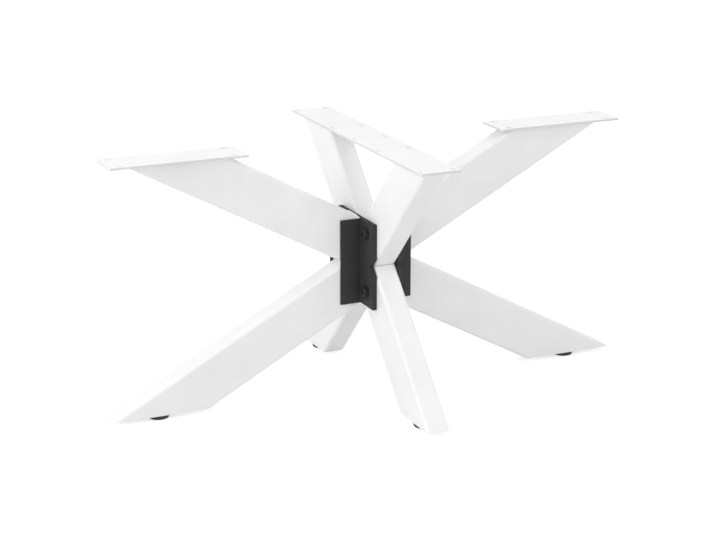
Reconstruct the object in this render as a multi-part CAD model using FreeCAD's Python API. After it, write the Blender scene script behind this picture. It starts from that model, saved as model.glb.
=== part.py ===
# X shaped steel leg for a low table, in millimetres. Four V frames of rectangular tube meet in one joint:
# the front and back V are welded back to back, and a black bracket on each side holds a removable side V.
# The origin is on the floor under the joint, +X runs along the side frames and +Z is up.
import FreeCAD, Part
import math
import os

# Rectangular tube of all eight arms
tube_depth = 80.0
tube_thickness = 40.0
tube_wall = 2.0
tube_corner = 6.0

# Overall frame, from the floor to the top of the plates
frame_top = 430.0
pad_height = 8.0
side_foot_reach = 462.5
cross_foot_reach = 266.5

# Inner corner of each V: how far out it lies and how high it is
corner_reach = 56.0
corner_height = 227.0

# Plates that the table top is screwed to
top_plate_thickness = 4.0
top_plate_width = 70.0
top_plate_corner = 3.0
side_plate_inner_overhang = 31.5
side_plate_outer_overhang = 29.0
cross_plate_overhang = 12.5
slot_width = 9.0
slot_length = 16.0
slot_edge_margin = 8.5
side_slot_end_margin = 20.0
cross_slot_end_margin = 12.0
cross_slot_row = 92.0

# Plates that close the tube ends
foot_plate_thickness = 3.0
end_plate_thickness = 5.0

# Bracket between the cross frame and a side frame, reaching above and below the inner corner
bracket_thickness = 8.0
bracket_width = 140.0
bracket_rise = 74.0
bracket_drop = 71.0
ear_thickness = 3.0
ear_length = 36.0
ear_clearance = 0.2

# Bolts that clamp both brackets through the cross frame, placed from the bracket plate's edges
clamp_bolt_diameter = 10.0
clamp_side_margin = 24.5
clamp_top_margin = 20.0
clamp_bottom_margin = 25.5
clamp_hole_clearance = 0.25
clamp_head_diameter = 17.5
clamp_head_height = 5.5
clamp_head_slope = 3.8
clamp_socket_flats = 6.0
clamp_socket_depth = 3.2
clamp_bolt_tail = 2.0
clamp_bolt_chamfer = 1.0
clamp_nut_flats = 16.0
clamp_nut_height = 8.4
washer_diameter = 21.0
washer_thickness = 2.0
spacer_wall = 3.0

# Countersunk screws that hold a side frame to its bracket
frame_screw_diameter = 8.0
frame_screw_rise = 46.0
frame_screw_head = 16.0
frame_screw_recess = 0.3
frame_screw_tail = 2.0
frame_socket_flats = 5.0
frame_socket_depth = 2.5
thread_clearance = 0.05

# Levelling feet
pad_diameter = 35.0
pad_edge = 1.5
pad_socket_depth = 5.0
stud_diameter = 8.0
stud_rise = 30.0
stud_chamfer = 0.8
foot_nut_flats = 14.0
foot_nut_height = 6.5

# Places that follow from the sizes above
frame_bottom = pad_height
plate_bottom = frame_top - top_plate_thickness
tube_bottom = frame_bottom + foot_plate_thickness
tube_side = tube_thickness / 2
bracket_face = tube_side + bracket_thickness
bracket_top = corner_height + bracket_rise
bracket_bottom = corner_height - bracket_drop
side_tube_end = bracket_face + end_plate_thickness
frame_screw_seat = tube_side + frame_screw_recess
far = 4 * side_foot_reach

TURNS = {"right": 0, "back": 90, "left": 180, "front": 270}


def save(name, solid):
    solid.exportStep("parts/" + name + ".step")


def turned(solid, side):
    copy = solid.copy()
    copy.rotate(FreeCAD.Vector(0, 0, 0), FreeCAD.Vector(0, 0, 1), TURNS[side])
    return copy


def block(low, high):
    size = [b - a for a, b in zip(low, high)]
    return Part.makeBox(size[0], size[1], size[2], FreeCAD.Vector(*low))


def rod(diameter, start, end):
    way = FreeCAD.Vector(*end) - FreeCAD.Vector(*start)
    return Part.makeCylinder(diameter / 2, way.Length, FreeCAD.Vector(*start), way)


def hexagon(flats, start, end):
    base = FreeCAD.Vector(*start)
    way = FreeCAD.Vector(*end) - base
    turn = FreeCAD.Rotation(FreeCAD.Vector(0, 0, 1), way)
    radius = flats / math.sqrt(3)
    corners = []
    for step in range(7):
        angle = math.radians(60 * step)
        corner = FreeCAD.Vector(radius * math.cos(angle), radius * math.sin(angle), 0)
        corners.append(base + turn.multVec(corner))
    return Part.Face(Part.makePolygon(corners)).extrude(way)


# The round edges of a body that lie at one place along an axis (0 is X, 2 is Z)
def rims(body, axis, place):
    return [edge for edge in body.Edges if abs(edge.CenterOfMass[axis] - place) < 0.01]


# A straight bar with rounded long edges, laid along X about the origin
def bar(depth, thickness, corner):
    body = block((-far, -thickness / 2, -depth / 2), (far, thickness / 2, depth / 2))
    long_edges = [edge for edge in body.Edges if edge.Length > far]
    return body.makeFillet(corner, long_edges)


solid_bar = bar(tube_depth, tube_thickness, tube_corner)
bore_bar = bar(tube_depth - 2 * tube_wall, tube_thickness - 2 * tube_wall, tube_corner - tube_wall)
hollow_bar = solid_bar.cut(bore_bar)


# One V of two mirrored arms. Its slope runs from the inner corner to the tip of the foot.
# Three cuts end each arm: an upright one and a level one where the arms meet, and a level one at its far end
class Frame:
    def __init__(self, foot_reach, tube_end):
        self.tube_end = tube_end
        self.angle = math.degrees(math.atan2(corner_height - frame_bottom, foot_reach - corner_reach))
        slope = math.radians(self.angle)
        self.cut_length = tube_depth / math.sin(slope)
        self.foot_centre = foot_reach - self.cut_length / 2
        self.top_reach = corner_reach + (plate_bottom - corner_height) / math.tan(slope)

    # A length of bar on the slope, with its lower (1) or upper (-1) edge through the inner corner
    def piece(self, body, rises, low, high):
        arm = body.copy()
        arm.translate(FreeCAD.Vector(0, 0, rises * tube_depth / 2))
        arm.rotate(FreeCAD.Vector(0, 0, 0), FreeCAD.Vector(0, 1, 0), -rises * self.angle)
        arm.translate(FreeCAD.Vector(corner_reach, 0, corner_height))
        return arm.common(block((low[0], -tube_thickness, low[1]), (high[0], tube_thickness, high[1])))

    def upper_arm(self):
        return self.piece(hollow_bar, 1, (self.tube_end, corner_height), (far, plate_bottom))

    def lower_arm(self):
        return self.piece(hollow_bar, -1, (self.tube_end, tube_bottom), (far, corner_height))

    # Closes the foot's cut, ground flush with the tube, and drilled for the levelling stud
    def foot_plate(self):
        plate = self.piece(solid_bar, -1, (self.tube_end, frame_bottom), (far, tube_bottom))
        hole = rod(stud_diameter + 2 * clamp_hole_clearance,
                   (self.foot_centre, 0, 0), (self.foot_centre, 0, frame_top))
        return plate.cut(hole)

    # Closes the upright end of the V from the top of one arm to the bottom of the other
    def end_plate(self, face):
        upper = self.piece(solid_bar, 1, (face, corner_height), (self.tube_end, plate_bottom))
        lower = self.piece(solid_bar, -1, (face, tube_bottom), (self.tube_end, corner_height))
        return upper.fuse(lower).removeSplitter()


side_frame = Frame(side_foot_reach, side_tube_end)
cross_frame = Frame(cross_foot_reach, 0)


# A flat bar with rounded corners, and slots that run along it
def top_plate(start, end, slot_places):
    plate = block((start, -top_plate_width / 2, plate_bottom), (end, top_plate_width / 2, frame_top))
    upright = [edge for edge in plate.Edges if abs(edge.Length - top_plate_thickness) < 0.01]
    plate = plate.makeFillet(top_plate_corner, upright)
    half_straight = (slot_length - slot_width) / 2
    row = top_plate_width / 2 - slot_edge_margin
    for reach in slot_places:
        for across in (-row, row):
            straight = block((reach - half_straight, across - slot_width / 2, plate_bottom),
                             (reach + half_straight, across + slot_width / 2, frame_top))
            ends = [rod(slot_width, (reach + shift, across, plate_bottom), (reach + shift, across, frame_top))
                    for shift in (-half_straight, half_straight)]
            plate = plate.cut(straight.fuse(ends))
    return plate


# Places of the four clamp bolts, as (y, z)
clamp_reach = bracket_width / 2 - clamp_side_margin
clamp_heights = {"upper": bracket_top - clamp_top_margin, "lower": bracket_bottom + clamp_bottom_margin}
clamp_places = {
    side + "_" + level: (way * clamp_reach, height)
    for side, way in (("front", -1), ("back", 1))
    for level, height in clamp_heights.items()
}
clamp_hole = clamp_bolt_diameter + 2 * clamp_hole_clearance
frame_screw_heights = {"upper": corner_height + frame_screw_rise, "lower": corner_height - frame_screw_rise}


# Holes through a piece for the clamp bolts
def clamp_drilled(body):
    for y, z in clamp_places.values():
        body = body.cut(rod(clamp_hole, (-far, y, z), (far, y, z)))
    return body


# The cone and shank of a countersunk screw along X, whose flat head lies at the given place
def countersunk(head_at, shank_end, height, growth):
    head_radius = frame_screw_head / 2 + growth
    shank_radius = frame_screw_diameter / 2 + growth
    drop = head_radius - shank_radius
    start = FreeCAD.Vector(head_at, 0, height)
    along = FreeCAD.Vector(1, 0, 0)
    cone = Part.makeCone(head_radius, shank_radius, drop, start, along)
    return cone.fuse(rod(2 * shank_radius, (head_at, 0, height), (shank_end, 0, height)))


# Bracket plate: bolted flat on the cross frame's side. Both its upright edges are notched,
# flush with the inner corner of the V behind them
def bracket_plate():
    edge = bracket_width / 2
    plate = block((tube_side, -edge, bracket_bottom), (bracket_face, edge, bracket_top))
    rise = (edge - corner_reach) * math.tan(math.radians(cross_frame.angle))
    for way in (-1, 1):
        points = [FreeCAD.Vector(tube_side, way * edge, corner_height - rise),
                  FreeCAD.Vector(tube_side, way * corner_reach, corner_height),
                  FreeCAD.Vector(tube_side, way * edge, corner_height + rise)]
        notch = Part.Face(Part.makePolygon(points + points[:1]))
        plate = plate.cut(notch.extrude(FreeCAD.Vector(bracket_thickness, 0, 0)))
    plate = clamp_drilled(plate)
    for height in frame_screw_heights.values():
        plate = plate.cut(countersunk(frame_screw_seat, bracket_face, height, thread_clearance))
        plate = plate.cut(rod(frame_screw_head + 2 * thread_clearance,
                              (tube_side, 0, height), (frame_screw_seat, 0, height)))
    return plate


# Ear: welded edge on to the bracket plate, one each side of the side frame's end
def ear(way):
    inner = tube_side + ear_clearance
    faces = sorted((way * inner, way * (inner + ear_thickness)))
    return block((bracket_face, faces[0], bracket_bottom), (bracket_face + ear_length, faces[1], bracket_top))


# Clamp bolt with a coned button head and a hexagon socket, from the left bracket to the right one
def clamp_bolt(y, z):
    head_seat = -bracket_face - washer_thickness
    tail = bracket_face + washer_thickness + clamp_nut_height + clamp_bolt_tail
    head_end = head_seat - clamp_head_height
    shank = rod(clamp_bolt_diameter, (head_seat, y, z), (tail, y, z))
    shank = shank.makeChamfer(clamp_bolt_chamfer, rims(shank, 0, tail))
    head = rod(clamp_head_diameter, (head_seat, y, z), (head_end, y, z))
    head = head.makeChamfer(clamp_head_slope, rims(head, 0, head_end))
    socket = hexagon(clamp_socket_flats, (head_end, y, z), (head_end + clamp_socket_depth, y, z))
    return head.fuse(shank).cut(socket)


def washer(start, y, z):
    end = start + washer_thickness
    return rod(washer_diameter, (start, y, z), (end, y, z)).cut(rod(clamp_hole, (start, y, z), (end, y, z)))


def clamp_nut(y, z):
    start = bracket_face + washer_thickness
    end = start + clamp_nut_height
    body = hexagon(clamp_nut_flats, (start, y, z), (end, y, z))
    return body.cut(rod(clamp_bolt_diameter + 2 * thread_clearance, (start, y, z), (end, y, z)))


# Sleeve inside the cross frame's tube, so that the bolt can't crush the walls
def spacer(y, z):
    inside = tube_side - tube_wall
    outer = rod(clamp_hole + 2 * spacer_wall, (-inside, y, z), (inside, y, z))
    return outer.cut(rod(clamp_hole, (-inside, y, z), (inside, y, z)))


def frame_screw(height):
    body = countersunk(frame_screw_seat, side_tube_end + frame_screw_tail, height, 0)
    return body.cut(hexagon(frame_socket_flats, (frame_screw_seat, 0, height),
                            (frame_screw_seat + frame_socket_depth, 0, height)))


def level_pad(reach):
    body = rod(pad_diameter, (reach, 0, 0), (reach, 0, pad_height))
    body = body.makeChamfer(pad_edge, rims(body, 2, 0))
    return body.cut(rod(stud_diameter, (reach, 0, pad_height - pad_socket_depth), (reach, 0, pad_height)))


def level_stud(reach):
    body = rod(stud_diameter, (reach, 0, pad_height - pad_socket_depth), (reach, 0, pad_height + stud_rise))
    return body.makeChamfer(stud_chamfer, rims(body, 2, pad_height + stud_rise))


# Nut welded inside the tube, on the foot plate
def foot_nut(reach):
    body = hexagon(foot_nut_flats, (reach, 0, tube_bottom), (reach, 0, tube_bottom + foot_nut_height))
    bore = stud_diameter + 2 * thread_clearance
    return body.cut(rod(bore, (reach, 0, tube_bottom), (reach, 0, tube_bottom + foot_nut_height)))


os.makedirs("parts", exist_ok=True)

# The four V frames with their feet
for side in TURNS:
    frame = side_frame if side in ("left", "right") else cross_frame
    upper = turned(frame.upper_arm(), side)
    lower = turned(frame.lower_arm(), side)
    if frame is cross_frame:
        upper = clamp_drilled(upper)
        lower = clamp_drilled(lower)
    save(side + "_upper_arm", upper)
    save(side + "_lower_arm", lower)
    save(side + "_foot_plate", turned(frame.foot_plate(), side))
    save(side + "_foot_nut", turned(foot_nut(frame.foot_centre), side))
    save(side + "_level_stud", turned(level_stud(frame.foot_centre), side))
    save(side + "_level_pad", turned(level_pad(frame.foot_centre), side))

# The centre plate spans the front and back arms, and each side arm has a plate of its own
cross_plate_end = cross_frame.top_reach + cross_plate_overhang
cross_slot_end = cross_plate_end - cross_slot_end_margin
cross_slots = (-cross_slot_end, -cross_slot_row, 0, cross_slot_row, cross_slot_end)
save("centre_top_plate", turned(top_plate(-cross_plate_end, cross_plate_end, cross_slots), "back"))
side_plate_start = side_frame.top_reach - side_frame.cut_length - side_plate_inner_overhang
side_plate_end = side_frame.top_reach + side_plate_outer_overhang
side_slots = (side_plate_start + side_slot_end_margin, side_plate_end - side_slot_end_margin)
for side in ("left", "right"):
    save(side + "_top_plate", turned(top_plate(side_plate_start, side_plate_end, side_slots), side))

# A bracket on each side, with the end plate and the screws of the frame that it holds
for side in ("left", "right"):
    save(side + "_bracket_plate", turned(bracket_plate(), side))
    save(side + "_front_ear", turned(ear(-1 if side == "right" else 1), side))
    save(side + "_back_ear", turned(ear(1 if side == "right" else -1), side))
    end_plate = side_frame.end_plate(bracket_face)
    for level, height in frame_screw_heights.items():
        bore = frame_screw_diameter + 2 * thread_clearance
        end_plate = end_plate.cut(rod(bore, (bracket_face, 0, height), (side_tube_end, 0, height)))
        save(side + "_" + level + "_frame_screw", turned(frame_screw(height), side))
    save(side + "_end_plate", turned(end_plate, side))

# Four bolts clamp the two brackets to the cross frame
for name, (y, z) in clamp_places.items():
    save(name + "_clamp_bolt", clamp_bolt(y, z))
    save(name + "_clamp_nut", clamp_nut(y, z))
    save(name + "_spacer", spacer(y, z))
    save(name + "_left_washer", washer(-bracket_face - washer_thickness, y, z))
    save(name + "_right_washer", washer(bracket_face, y, z))
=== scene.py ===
import bpy
import math
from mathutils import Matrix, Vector


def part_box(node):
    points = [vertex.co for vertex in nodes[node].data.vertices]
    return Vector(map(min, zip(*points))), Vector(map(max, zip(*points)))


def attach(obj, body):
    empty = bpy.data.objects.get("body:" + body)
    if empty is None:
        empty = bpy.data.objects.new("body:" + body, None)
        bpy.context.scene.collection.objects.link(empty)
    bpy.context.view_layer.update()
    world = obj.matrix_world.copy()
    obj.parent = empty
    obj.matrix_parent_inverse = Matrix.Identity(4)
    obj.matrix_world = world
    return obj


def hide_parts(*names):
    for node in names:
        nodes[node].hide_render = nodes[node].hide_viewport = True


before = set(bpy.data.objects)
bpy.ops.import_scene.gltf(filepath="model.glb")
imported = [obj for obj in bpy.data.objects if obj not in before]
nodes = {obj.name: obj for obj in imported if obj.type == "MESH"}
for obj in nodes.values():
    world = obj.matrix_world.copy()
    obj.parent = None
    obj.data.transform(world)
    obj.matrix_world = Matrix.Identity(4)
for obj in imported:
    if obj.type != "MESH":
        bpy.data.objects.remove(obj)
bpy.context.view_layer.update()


# Tube frames: mild steel tube, cut, mitred and welded, then coated with satin white powder.
# The powder bakes to one film, faintly wavy like an orange's skin.
def powder_coat(name, dark, light, roughness, grain, depth):
    """A baked powder film: its tone drifts a little, and a fine grain stands proud by depth."""
    material = bpy.data.materials.new(name)
    material.use_nodes = True
    tree = material.node_tree
    shader = tree.nodes["Principled BSDF"]
    place = tree.nodes.new("ShaderNodeTexCoord")

    drift = tree.nodes.new("ShaderNodeTexNoise")
    drift.inputs["Scale"].default_value = 14
    drift.inputs["Detail"].default_value = 3
    tone = tree.nodes.new("ShaderNodeValToRGB")
    tone.color_ramp.elements[0].position = 0.3
    tone.color_ramp.elements[0].color = (*dark, 1)
    tone.color_ramp.elements[1].position = 0.7
    tone.color_ramp.elements[1].color = (*light, 1)

    peel = tree.nodes.new("ShaderNodeTexNoise")
    peel.inputs["Scale"].default_value = 1 / grain
    peel.inputs["Detail"].default_value = 2
    bump = tree.nodes.new("ShaderNodeBump")
    bump.inputs["Strength"].default_value = 1
    bump.inputs["Distance"].default_value = depth
    gloss = tree.nodes.new("ShaderNodeMapRange")
    gloss.inputs["To Min"].default_value = roughness[0]
    gloss.inputs["To Max"].default_value = roughness[1]

    link = tree.links.new
    link(place.outputs["Object"], drift.inputs["Vector"])
    link(place.outputs["Object"], peel.inputs["Vector"])
    link(drift.outputs["Fac"], tone.inputs["Fac"])
    link(tone.outputs["Color"], shader.inputs["Base Color"])
    link(peel.outputs["Fac"], bump.inputs["Height"])
    link(bump.outputs["Normal"], shader.inputs["Normal"])
    link(drift.outputs["Fac"], gloss.inputs["Value"])
    link(gloss.outputs["Result"], shader.inputs["Roughness"])
    return material


def finish(node, material):
    """Gives a carried-over node one material all over."""
    slots = nodes[node].data.materials
    slots.clear()
    slots.append(material)


peel_grain = 0.0012
peel_depth = 0.00002
white_coat = powder_coat(
    "white_powder_coat", dark=(0.87, 0.87, 0.87), light=(0.91, 0.91, 0.91),
    roughness=(0.42, 0.52), grain=peel_grain, depth=peel_depth)

for side in ("front", "back", "left", "right"):
    for piece in ("upper_arm", "lower_arm", "foot_plate"):
        finish(side + "_" + piece, white_coat)
for side in ("left", "right"):
    finish(side + "_end_plate", white_coat)


# Slotted plates under the table top: flat bar, laser cut, its edges blunted before coating.
# The CAD solids carry over with every edge eased by a third of a millimetre.
# The outer cut edges get a greyer coat: painted shade, standing in for the dark shadow line along the plates'
# edges.
def pick(*pieces):
    """Selects these pieces and nothing else, with the first one active."""
    bpy.ops.object.select_all(action="DESELECT")
    for piece in pieces:
        piece.select_set(True)
    bpy.context.view_layer.objects.active = pieces[0]


merge_distance = 0.000001
level_angle = math.radians(0.5)
sharp_angle = math.radians(30)


def eased(node, material, ease):
    """Replaces a node by a copy of its solid with blunted edges."""
    pick(nodes[node])
    bpy.ops.object.duplicate(linked=False)
    piece = bpy.context.active_object
    piece.name = node + "_eased"
    bpy.ops.object.mode_set(mode="EDIT")
    bpy.ops.mesh.select_all(action="SELECT")
    bpy.ops.mesh.remove_doubles(threshold=merge_distance)
    bpy.ops.mesh.dissolve_limited(angle_limit=level_angle)
    bpy.ops.mesh.normals_make_consistent(inside=False)
    bpy.ops.object.mode_set(mode="OBJECT")
    edges = piece.modifiers.new("ease", "BEVEL")
    edges.width = ease
    edges.segments = 2
    edges.limit_method = "ANGLE"
    edges.angle_limit = sharp_angle
    bpy.ops.object.modifier_apply(modifier="ease")
    bpy.ops.object.shade_smooth()
    flat = piece.modifiers.new("flat", "WEIGHTED_NORMAL")
    flat.mode = "FACE_AREA"
    flat.weight = 100
    bpy.ops.object.modifier_apply(modifier="flat")
    piece.data.materials.clear()
    piece.data.materials.append(material)
    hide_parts(node)
    return piece


# Painted shade: a greyer copy of the white coat, for the plates' outer cut edges.
painted_shade_edge_coat = powder_coat(
    "painted_shade_on_cut_edges", dark=(0.70, 0.70, 0.70), light=(0.74, 0.74, 0.74),
    roughness=(0.46, 0.56), grain=peel_grain, depth=peel_depth)

plate_ease = 0.00035
upright_limit = 0.1
for plate in ("centre_top_plate", "left_top_plate", "right_top_plate"):
    piece = eased(plate, white_coat, plate_ease)
    # The second slot holds the painted shade; the upright faces along the outer edge take it.
    piece.data.materials.append(painted_shade_edge_coat)
    low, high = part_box(plate)
    for face in piece.data.polygons:
        x, y = face.center.xy
        inset = min(x - low[0], high[0] - x, y - low[1], high[1] - y)
        if abs(face.normal.z) < upright_limit and inset < plate_ease:
            face.material_index = 1


# Welds of the white frames: MIG beads of overlapping puddles, laid before the coat went on.
# Inside each V the mitre carries a thin dark line: painted shade, a dark bead laid in the sharp corner where
# shadow falls.
puddle_step = 0.55


def bead(name, start, end, radius, material):
    """A straight row of overlapping puddles from start to end, as one mesh."""
    way = Vector(end) - Vector(start)
    pitch = radius * puddle_step
    bpy.ops.object.select_all(action="DESELECT")
    bpy.ops.mesh.primitive_uv_sphere_add(segments=12, ring_count=8, radius=radius, location=(0, 0, 0))
    weld = bpy.context.active_object
    weld.name = name
    row = weld.modifiers.new("row", "ARRAY")
    row.use_relative_offset = False
    row.use_constant_offset = True
    row.constant_offset_displace = (pitch, 0, 0)
    row.count = round(way.length / pitch) + 1
    bpy.ops.object.modifier_apply(modifier="row")
    weld.rotation_mode = "QUATERNION"
    weld.rotation_quaternion = way.to_track_quat("X", "Z")
    weld.location = start
    bpy.ops.object.transform_apply(location=True, rotation=True, scale=True)
    bpy.ops.object.shade_smooth()
    weld.data.materials.append(material)
    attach(weld, "frame")


# Painted shade: a dark grey coat for the thin bead in each mitre's crease.
painted_crease_shade = powder_coat(
    "painted_shade_in_corners", dark=(0.22, 0.22, 0.22), light=(0.34, 0.34, 0.34),
    roughness=(0.5, 0.6), grain=peel_grain, depth=peel_depth)

side_turns = {"right": 0, "back": 90, "left": 180, "front": 270}


def around(side, x, y, z):
    """A place on the right side's frame, turned round to the frame of the given side."""
    turn = math.radians(side_turns[side])
    return (x * math.cos(turn) - y * math.sin(turn), x * math.sin(turn) + y * math.cos(turn), z)


half_tube = 0.020
tube_depth = 0.080
corner_reach = 0.056
corner_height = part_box("right_lower_arm")[1][2]
foot_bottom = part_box("right_foot_plate")[0][2]
plate_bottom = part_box("right_top_plate")[0][2]
tube_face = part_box("right_upper_arm")[0][0]
foot_reach = {"right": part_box("right_foot_plate")[1][0], "back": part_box("back_foot_plate")[1][1]}
foot_reach["left"] = foot_reach["right"]
foot_reach["front"] = foot_reach["back"]

crease = 0.0006
crease_inset = 0.003
plate_bead = 0.0018
stitch_length = 0.025
stitch_places = (0.25, 0.75)
end_bead = 0.0014
end_inset = 0.005
valley_bead = 0.0022

for side in side_turns:
    slope = math.atan2(corner_height - foot_bottom, foot_reach[side] - corner_reach)
    rise = tube_depth / math.cos(slope)
    # The crease bead is painted shade along the inner corner of the mitre.
    bead(side + "_corner_crease", around(side, corner_reach, -half_tube + crease_inset, corner_height),
         around(side, corner_reach, half_tube - crease_inset, corner_height), crease, painted_crease_shade)

    # Stitches along both sides of the tube, under its plate
    tube_end = corner_reach + (plate_bottom - corner_height) / math.tan(slope)
    tube_start = tube_end - tube_depth / math.sin(slope)
    for number, share in enumerate(stitch_places, start=1):
        middle = tube_start + share * (tube_end - tube_start)
        for face, across in (("a", -half_tube), ("b", half_tube)):
            bead(side + "_plate_weld_" + str(number) + face,
                 around(side, middle - stitch_length / 2, across, plate_bottom),
                 around(side, middle + stitch_length / 2, across, plate_bottom), plate_bead, white_coat)

    # A side frame's end plate is welded across its top and its bottom edge
    if side in ("left", "right"):
        climb = (tube_face - corner_reach) * math.tan(slope)
        for edge, height in (("top", corner_height + climb + rise), ("bottom", corner_height - climb - rise)):
            bead(side + "_end_" + edge + "_weld", around(side, tube_face, -half_tube + end_inset, height),
                 around(side, tube_face, half_tube - end_inset, height), end_bead, white_coat)

# The front and the back V lean together in a valley, welded from bracket to bracket
cross_slope = math.atan2(corner_height - foot_bottom, foot_reach["back"] - corner_reach)
valley = tube_depth / math.cos(cross_slope) - corner_reach * math.tan(cross_slope)
for edge, height in (("top", corner_height + valley), ("bottom", corner_height - valley)):
    bead("valley_" + edge + "_weld", (-half_tube, 0, height), (half_tube, 0, height), valley_bead, white_coat)


# Brackets in the middle: a thick notched plate and two thin ears, welded and coated black.
# Their powder is a fine matt structure coat, like sand.
black_coat = powder_coat(
    "black_powder_coat", dark=(0.016, 0.016, 0.017), light=(0.022, 0.022, 0.023),
    roughness=(0.66, 0.78), grain=0.0006, depth=0.00004)

bracket_ease = 0.0006
ear_ease = 0.0004
ear_bead = 0.0010
ear_inset = 0.004
for side in ("left", "right"):
    eased(side + "_bracket_plate", black_coat, bracket_ease)
    for ear in ("front_ear", "back_ear"):
        eased(side + "_" + ear, black_coat, ear_ease)
        low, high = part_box(side + "_" + ear)
        root = low[0] if side == "right" else high[0]
        face = low[1] if ear == "front_ear" else high[1]
        bead(side + "_" + ear + "_weld", (root, face, low[2] + ear_inset), (root, face, high[2] - ear_inset),
             ear_bead, black_coat)


# Clamp bolts, nuts and washers: M10 bolts with a domed socket head, through both bracket plates.
# All are turned or pressed steel with an oiled black oxide skin.
def steel(name, dark, light, roughness, metallic, streak):
    """Bare or oxidised steel, with fine streaks that run round a turned piece's axis."""
    material = bpy.data.materials.new(name)
    material.use_nodes = True
    tree = material.node_tree
    shader = tree.nodes["Principled BSDF"]
    shader.inputs["Metallic"].default_value = metallic
    place = tree.nodes.new("ShaderNodeTexCoord")
    streaks = tree.nodes.new("ShaderNodeMapping")
    streaks.inputs["Scale"].default_value = streak
    grain = tree.nodes.new("ShaderNodeTexNoise")
    grain.inputs["Scale"].default_value = 300
    grain.inputs["Detail"].default_value = 4
    tone = tree.nodes.new("ShaderNodeValToRGB")
    tone.color_ramp.elements[0].position = 0.35
    tone.color_ramp.elements[0].color = (*dark, 1)
    tone.color_ramp.elements[1].position = 0.65
    tone.color_ramp.elements[1].color = (*light, 1)
    gloss = tree.nodes.new("ShaderNodeMapRange")
    gloss.inputs["To Min"].default_value = roughness[0]
    gloss.inputs["To Max"].default_value = roughness[1]
    link = tree.links.new
    link(place.outputs["Object"], streaks.inputs["Vector"])
    link(streaks.outputs["Vector"], grain.inputs["Vector"])
    link(grain.outputs["Fac"], tone.inputs["Fac"])
    link(tone.outputs["Color"], shader.inputs["Base Color"])
    link(grain.outputs["Fac"], gloss.inputs["Value"])
    link(gloss.outputs["Result"], shader.inputs["Roughness"])
    return material


def outline(name, points):
    """A line through the points, pulled out of one vertex."""
    bpy.ops.object.select_all(action="DESELECT")
    bpy.ops.mesh.primitive_plane_add(size=0.001, location=(0, 0, 0))
    line = bpy.context.active_object
    line.name = name
    bpy.ops.object.mode_set(mode="EDIT")
    bpy.ops.mesh.select_all(action="SELECT")
    bpy.ops.mesh.merge(type="CENTER")
    bpy.ops.transform.translate(value=points[0])
    for start, end in zip(points, points[1:]):
        bpy.ops.mesh.extrude_region_move(TRANSFORM_OT_translate={"value": Vector(end) - Vector(start)})
    bpy.ops.object.mode_set(mode="OBJECT")
    return line


def lathe(name, points, turns=1, pitch=0, steps=64):
    """Turns an outline of (along, radius) about the X axis, or winds it when it has a pitch."""
    body = outline(name, [(along, radius, 0) for along, radius in points])
    spin = body.modifiers.new("spin", "SCREW")
    spin.axis = "X"
    spin.angle = math.radians(360)
    spin.screw_offset = pitch
    spin.iterations = turns
    spin.steps = steps
    spin.render_steps = steps
    spin.use_merge_vertices = True
    spin.merge_threshold = merge_distance
    bpy.ops.object.modifier_apply(modifier="spin")
    bpy.ops.object.mode_set(mode="EDIT")
    bpy.ops.mesh.select_all(action="SELECT")
    bpy.ops.mesh.remove_doubles(threshold=merge_distance)
    bpy.ops.mesh.normals_make_consistent(inside=False)
    bpy.ops.object.mode_set(mode="OBJECT")
    return body


# Shares of the pitch
thread_depth = 0.61
thread_flank = 0.4


def thread(name, radius, pitch, start, end):
    """A ridge wound along X, with sloping flanks and a flat crest."""
    root = radius - thread_depth * pitch
    flank = thread_flank * pitch
    turns = round((end - start) / pitch) - 1
    points = [(start, root), (start + flank, radius), (start + pitch - flank, radius), (start + pitch, root)]
    return lathe(name, points, turns=turns, pitch=pitch, steps=32)


def joined(name, pieces):
    """Makes one object of several, under one name."""
    pick(*pieces)
    bpy.ops.object.join()
    pieces[0].name = name
    return pieces[0]


def twin(piece, name, shift):
    """Another piece like this one, moved by shift, with a mesh of its own."""
    pick(piece)
    bpy.ops.object.duplicate(linked=False)
    copy = bpy.context.active_object
    copy.name = name
    copy.location = shift
    bpy.ops.object.transform_apply(location=True, rotation=True, scale=True)
    return copy


def combined(piece, other, operation):
    """Cuts or trims one closed piece by another, and removes the other."""
    cut = piece.modifiers.new("cut", "BOOLEAN")
    cut.operation = operation
    cut.solver = "EXACT"
    cut.object = other
    pick(piece)
    bpy.ops.object.modifier_apply(modifier="cut")
    bpy.data.objects.remove(other)


def prism(name, flats, start, end):
    """A six sided bar along X."""
    bpy.ops.object.select_all(action="DESELECT")
    bpy.ops.mesh.primitive_cylinder_add(vertices=6, radius=flats / math.sqrt(3), depth=end - start,
                                        location=((start + end) / 2, 0, 0), rotation=(0, math.radians(90), 0))
    bar = bpy.context.active_object
    bar.name = name
    bpy.ops.object.transform_apply(location=True, rotation=True, scale=True)
    return bar


black_oxide = steel(
    "black_oxide_steel", dark=(0.010, 0.010, 0.011), light=(0.020, 0.020, 0.021),
    roughness=(0.55, 0.68), metallic=0, streak=(8, 1, 1))
oiled_shine = 0.28
black_oxide.node_tree.nodes["Principled BSDF"].inputs["Specular IOR Level"].default_value = oiled_shine

clamps = [side + "_" + level for side in ("front", "back") for level in ("upper", "lower")]
cutter_margin = 0.001
thread_smooth = math.radians(32)
nut_smooth = math.radians(25)

# Pattern of the bolts, on the X axis
bolt_low, bolt_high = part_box(clamps[0] + "_clamp_bolt")
head_end = bolt_low[0]
tail = bolt_high[0]
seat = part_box(clamps[0] + "_left_washer")[0][0]
head_radius = (bolt_high[2] - bolt_low[2]) / 2
head_rim = 0.0012
head_crown = 0.0049
dome_steps = 6
socket_flats = 0.006
socket_depth = 0.0032
bolt_radius = 0.005
bolt_core = 0.0041
bolt_pitch = 0.0015
thread_length = 0.016
thread_start = tail - thread_length
thread_runout = 0.001
tail_chamfer = 0.0006
tail_radius = 0.0034

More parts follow.
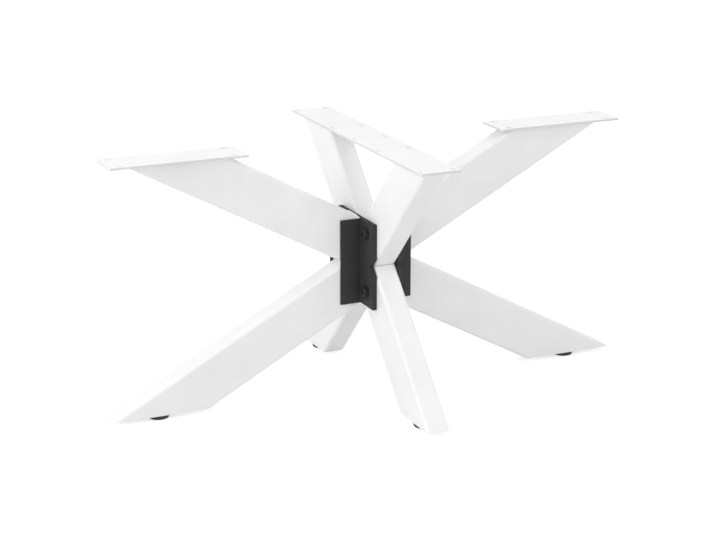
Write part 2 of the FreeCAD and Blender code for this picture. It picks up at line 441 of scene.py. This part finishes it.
dome = []
for step in range(dome_steps + 1):
    angle = math.radians(90 * step / dome_steps)
    dome.append((head_end + (seat - head_rim - head_end) * (1 - math.sin(angle)),
                 head_crown + (head_radius - head_crown) * math.cos(angle)))
head = lathe("clamp_head", [(seat, 0), (seat, head_radius), *dome, (head_end, 0)])
socket = prism("socket", socket_flats, head_end - cutter_margin, head_end + socket_depth)
combined(head, socket, "DIFFERENCE")
shank = lathe("clamp_shank", [
    (seat, 0), (seat, bolt_radius), (thread_start, bolt_radius), (thread_start + thread_runout, bolt_core),
    (tail - tail_chamfer, bolt_core), (tail, tail_radius), (tail, 0)])
ridge = thread("clamp_thread", bolt_radius, bolt_pitch, thread_start, tail)
bolt = joined("clamp_bolt_pattern", [head, shank, ridge])
bpy.ops.object.shade_smooth_by_angle(angle=thread_smooth)
bolt.data.materials.append(black_oxide)

# Pattern of the nuts, with both faces turned to a chamfer
nut_low, nut_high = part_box(clamps[0] + "_clamp_nut")
nut_start = nut_low[0]
nut_end = nut_high[0]
nut_flats = 0.016
nut_corner = nut_flats / math.sqrt(3)
nut_face_share = 0.97
nut_face = nut_flats / 2 * nut_face_share
nut_chamfer = 0.0006
bore_clearance = 0.00005
bore_radius = bolt_radius + bore_clearance

nut = prism("clamp_nut_pattern", nut_flats, nut_start, nut_end)
turning = lathe("nut_turning", [
    (nut_start, 0), (nut_start, nut_face), (nut_start + nut_chamfer, nut_corner),
    (nut_end - nut_chamfer, nut_corner), (nut_end, nut_face), (nut_end, 0)])
combined(nut, turning, "INTERSECT")
bore = lathe("nut_bore", [
    (nut_start - cutter_margin, 0), (nut_start - cutter_margin, bore_radius),
    (nut_end + cutter_margin, bore_radius), (nut_end + cutter_margin, 0)])
combined(nut, bore, "DIFFERENCE")
bpy.ops.object.shade_smooth_by_angle(angle=nut_smooth)
nut.data.materials.append(black_oxide)

washer_ease = 0.0003
for clamp in clamps:
    low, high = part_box(clamp + "_clamp_bolt")
    axis = (0, (low[1] + high[1]) / 2, (low[2] + high[2]) / 2)
    for pattern, piece in ((bolt, "_clamp_bolt"), (nut, "_clamp_nut")):
        dressed = twin(pattern, clamp + piece + "_turned", axis)
        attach(dressed, "frame")
        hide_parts(clamp + piece)
    for washer in ("left_washer", "right_washer"):
        eased(clamp + "_" + washer, black_oxide, washer_ease)
bpy.data.objects.remove(bolt)
bpy.data.objects.remove(nut)


# Steel hidden in the joint and the feet: spacer tubes, countersunk screws and weld nuts.
# They are bought parts, bright zinc plated, and carry over as they are in the CAD.
zinc = steel(
    "zinc_plated_steel", dark=(0.50, 0.51, 0.54), light=(0.62, 0.63, 0.66),
    roughness=(0.28, 0.42), metallic=1, streak=(1, 1, 6))

for side in ("front", "back"):
    for level in ("upper", "lower"):
        finish(side + "_" + level + "_spacer", zinc)
for side in ("left", "right"):
    for level in ("upper", "lower"):
        finish(side + "_" + level + "_frame_screw", zinc)
for side in ("front", "back", "left", "right"):
    finish(side + "_foot_nut", zinc)


# Studs of the levelling feet: zinc plated steel rod with a rolled M8 thread over its whole length.
# Each is screwed up into the nut of its foot and moves with its pad.
stud_radius = 0.004
stud_pitch = 0.00125
stud_core = stud_radius - thread_depth * stud_pitch
stud_chamfer = 0.0008
stud_low, stud_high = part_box("right_level_stud")
stud_end = stud_high[2] - stud_low[2]

core = lathe("stud_core", [
    (0, 0), (0, stud_core), (stud_end - stud_chamfer, stud_core),
    (stud_end, stud_core - stud_chamfer), (stud_end, 0)], steps=48)
ridge = thread("stud_thread", stud_radius, stud_pitch, 0, stud_end)
stud = joined("stud_pattern", [core, ridge])
stud.rotation_euler = (0, math.radians(-90), 0)
bpy.ops.object.transform_apply(location=True, rotation=True, scale=True)
bpy.ops.object.shade_smooth_by_angle(angle=thread_smooth)
stud.data.materials.append(zinc)
for side in ("front", "back", "left", "right"):
    low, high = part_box(side + "_level_stud")
    base = ((low[0] + high[0]) / 2, (low[1] + high[1]) / 2, low[2])
    dressed = twin(stud, side + "_level_stud_threaded", base)
    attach(dressed, side + "_foot")
    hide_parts(side + "_level_stud")
bpy.data.objects.remove(stud)


# Pads under the feet: black nylon discs, moulded on to the studs.
# The mould's spark-eroded walls leave them a dull skin.
black_nylon = powder_coat(
    "moulded_black_nylon", dark=(0.012, 0.012, 0.012), light=(0.017, 0.017, 0.017),
    roughness=(0.5, 0.6), grain=0.0005, depth=0.00002)

pad_ease = 0.0006
for side in ("front", "back", "left", "right"):
    eased(side + "_level_pad", black_nylon, pad_ease)


# Pale studio floor, a matt sheet that keeps the object's shadow.
# What the camera and reflections see of it is lifted to white.
floor_size = 60
floor_shade = (0.80, 0.80, 0.80)
floor_lift = 0.60


def seen_rays(tree):
    """Gives 1 to the rays of the camera, of reflections and of transmission, and 0 to lighting."""
    path = tree.nodes.new("ShaderNodeLightPath")
    seen = tree.nodes.new("ShaderNodeMath")
    seen.operation = "ADD"
    also_seen = tree.nodes.new("ShaderNodeMath")
    also_seen.operation = "ADD"
    also_seen.use_clamp = True
    tree.links.new(path.outputs["Is Camera Ray"], seen.inputs[0])
    tree.links.new(path.outputs["Is Glossy Ray"], seen.inputs[1])
    tree.links.new(seen.outputs[0], also_seen.inputs[0])
    tree.links.new(path.outputs["Is Transmission Ray"], also_seen.inputs[1])
    return also_seen.outputs[0]


bpy.ops.object.select_all(action="DESELECT")
bpy.ops.mesh.primitive_plane_add(size=floor_size, location=(0, 0, 0))
floor = bpy.context.active_object
floor.name = "floor"
paint = bpy.data.materials.new("studio_floor")
paint.use_nodes = True
tree = paint.node_tree
matt = tree.nodes["Principled BSDF"]
matt.inputs["Base Color"].default_value = (*floor_shade, 1)
matt.inputs["Roughness"].default_value = 1
matt.inputs["Specular IOR Level"].default_value = 0
glow = tree.nodes.new("ShaderNodeEmission")
lift = tree.nodes.new("ShaderNodeMath")
lift.operation = "MULTIPLY"
lift.inputs[1].default_value = floor_lift
both = tree.nodes.new("ShaderNodeAddShader")
tree.links.new(seen_rays(tree), lift.inputs[0])
tree.links.new(lift.outputs[0], glow.inputs["Strength"])
tree.links.new(matt.outputs["BSDF"], both.inputs[0])
tree.links.new(glow.outputs["Emission"], both.inputs[1])
tree.links.new(both.outputs["Shader"], tree.nodes["Material Output"].inputs["Surface"])
floor.data.materials.append(paint)


# White surroundings of the studio, seen at full strength.
# As light they are weaker, so that the lamps still shape the faces.
surround_light = 0.665
world = bpy.data.worlds.new("studio")
world.use_nodes = True
bpy.context.scene.world = world
tree = world.node_tree
backdrop = tree.nodes["Background"]
backdrop.inputs["Color"].default_value = (1, 1, 1, 1)
strength = tree.nodes.new("ShaderNodeMapRange")
strength.inputs["To Min"].default_value = surround_light
strength.inputs["To Max"].default_value = 1
tree.links.new(seen_rays(tree), strength.inputs["Value"])
tree.links.new(strength.outputs["Result"], backdrop.inputs["Strength"])


# Large soft lamps: a key from the left, one overhead, and a weaker fill from the camera's side.
# All three aim at the joint.
lamp_aim = (0, 0, 0.2)


def softbox(name, place, size, power):
    """A square area lamp of the given side, turned to the joint."""
    bpy.ops.object.light_add(type="AREA", location=place)
    lamp = bpy.context.active_object
    lamp.name = name
    lamp.data.size = size
    lamp.data.energy = power
    lamp.rotation_mode = "QUATERNION"
    lamp.rotation_quaternion = (Vector(lamp_aim) - Vector(place)).to_track_quat("-Z", "Y")


softbox("key", place=(-2.6, -0.4, 1.6), size=1.6, power=31.5)
softbox("overhead", place=(1.0, 0.2, 2.7), size=2.2, power=15)
softbox("fill", place=(0.9, -3.4, 1.8), size=2.0, power=18.5)


# Camera of the photograph, for its frame of 716 x 540 pixels.
# It looks down from the front left at a point beside the joint.
view_turn = math.radians(-23.98)
view_rise = math.radians(17.01)
view_distance = 2.9864
aim_aside = -0.02082
aim_height = 0.2026
lens = 89.47
sensor_width = 36
view_end = 100

aim = Vector((aim_aside * math.cos(view_turn), aim_aside * math.sin(view_turn), aim_height))
back = Vector((math.sin(view_turn) * math.cos(view_rise),
               -math.cos(view_turn) * math.cos(view_rise),
               math.sin(view_rise)))
bpy.ops.object.camera_add(location=aim + back * view_distance)
camera = bpy.context.active_object
camera.name = "camera"
camera.rotation_mode = "QUATERNION"
camera.rotation_quaternion = (-back).to_track_quat("-Z", "Y")
camera.data.sensor_width = sensor_width
camera.data.lens = lens
camera.data.clip_end = view_end
bpy.context.scene.camera = camera

bpy.context.scene.view_settings.view_transform = "Standard"
